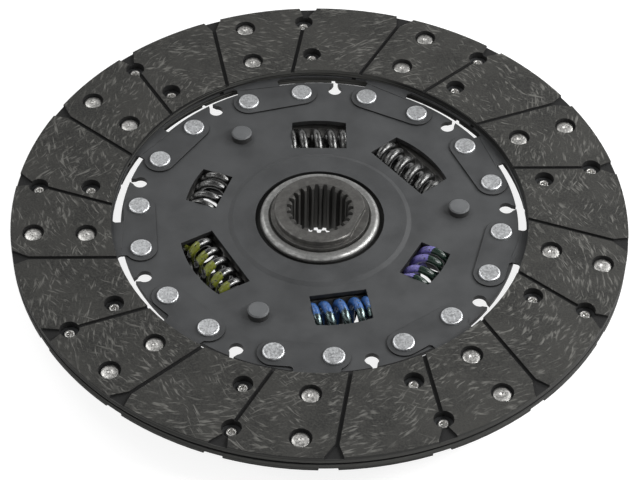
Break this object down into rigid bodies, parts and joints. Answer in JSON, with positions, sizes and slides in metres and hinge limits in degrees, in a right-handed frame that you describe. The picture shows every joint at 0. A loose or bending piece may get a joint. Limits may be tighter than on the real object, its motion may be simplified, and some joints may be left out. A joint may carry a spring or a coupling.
{
  "type": "clutch disc",
  "caption": "Round clutch disc with grooved, riveted friction linings on wavy spring segments, damper springs in plate windows and a splined hub.",
  "frame": {"origin": "on the hub's axis, in the middle plane between the two lining faces", "axes": "+Z along the hub's axis towards the side seen in the picture, where the hub's short nose stands out; +X to the picture's right; +Y away from its viewer"},
  "size_m": [0.24, 0.24, 0.025],
  "materials": {
    "lining": "dark grey moulded friction lining with pale fibre threads",
    "rivet": "bright plated rivet, lightly marked",
    "segment_steel": "dull rolled spring steel strip",
    "plate": "dark phosphated pressed steel, satin",
    "pin": "dark turned steel, headed over",
    "spring_steel": "dark oiled spring steel",
    "spring_olive_paint": "spring steel with an olive marking paint",
    "spring_blue_paint": "spring steel with a blue marking paint",
    "spring_violet_paint": "spring steel with a violet marking paint",
    "hub": "forged and turned steel, dull",
    "bush": "smooth turned steel ring",
    "washer": "brown fibre friction washer"
  },
  "bodies": {
    "disc": {"front_lining": "lining", "rear_lining": "lining", "front_lining_rivets": "rivet", "rear_lining_rivets": "rivet", "cushion_segment_1": "segment_steel", "cushion_segment_2": "segment_steel", "cushion_segment_3": "segment_steel", "cushion_segment_4": "segment_steel", "cushion_segment_5": "segment_steel", "cushion_segment_6": "segment_steel", "cushion_segment_7": "segment_steel", "cushion_segment_8": "segment_steel", "cushion_segment_9": "segment_steel", "segment_rivets": "rivet", "carrier_plate": "plate", "counter_plate": "plate", "stop_pin_1": "pin", "stop_pin_2": "pin", "stop_pin_3": "pin", "front_bush": "bush", "friction_washer": "washer", "pressure_ring": "spring_steel", "diaphragm_spring": "spring_steel"},
    "hub": {"hub": "hub"},
    "springs": {"torsion_spring_1": "spring_steel", "torsion_spring_2": "spring_steel", "torsion_spring_3": "spring_steel", "torsion_spring_4": "spring_olive_paint", "torsion_spring_5": "spring_blue_paint", "torsion_spring_6": "spring_violet_paint"}
  },
  "joints": [
    {"name": "hub_twist", "type": "hinge", "parent": "disc", "child": "hub", "pos_m": [0, 0, 0], "axis": [0, 0, 1], "range_deg": [-8, 8], "stiffness_Nm_per_rad": 2500, "deforming": ["torsion_spring_1", "torsion_spring_2", "torsion_spring_3", "torsion_spring_4", "torsion_spring_5", "torsion_spring_6"]},
    {"name": "spring_follow", "type": "hinge", "parent": "disc", "child": "springs", "pos_m": [0, 0, 0], "axis": [0, 0, 1], "range_deg": [-4, 4], "deforming": ["torsion_spring_1", "torsion_spring_2", "torsion_spring_3", "torsion_spring_4", "torsion_spring_5", "torsion_spring_6"]}
  ],
  "couplings": [
    {"joint": "spring_follow", "follows": "hub_twist", "ratio": 0.5}
  ]
}
